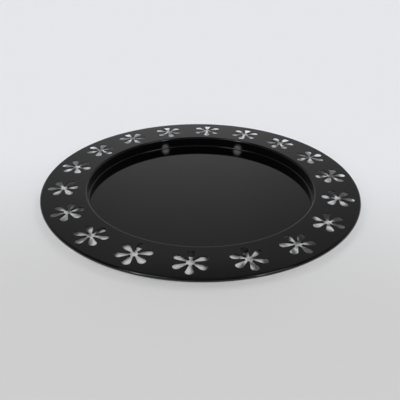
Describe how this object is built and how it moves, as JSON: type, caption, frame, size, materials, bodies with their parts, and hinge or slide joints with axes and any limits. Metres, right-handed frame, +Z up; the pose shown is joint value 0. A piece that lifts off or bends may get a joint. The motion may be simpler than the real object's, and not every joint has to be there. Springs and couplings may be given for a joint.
{
  "type": "serving tray",
  "caption": "Round black-coated steel serving tray with a shallow flat well and a wide rim pierced with flower-shaped rosettes, rolled edge.",
  "frame": {"origin": "on the tray's axis, at the surface that the tray stands on", "axes": "+Z up along the tray's axis; a rosette of the rim lies on -Y, the side that faces the viewer"},
  "size_m": [0.3999, 0.4, 0.0175],
  "materials": {
    "tray_body": "gloss black epoxy lacquer",
    "edge_wire": "drawn bright steel",
    "bumper": "translucent moulded silicone",
    "adhesive": "clear-amber acrylic adhesive film"
  },
  "bodies": {
    "root": {"tray_body": "tray_body", "edge_wire": "edge_wire", "bumper_1": "bumper", "bumper_2": "bumper", "bumper_3": "bumper", "bumper_4": "bumper", "adhesive_1": "adhesive", "adhesive_2": "adhesive", "adhesive_3": "adhesive", "adhesive_4": "adhesive"}
  },
  "joints": []
}
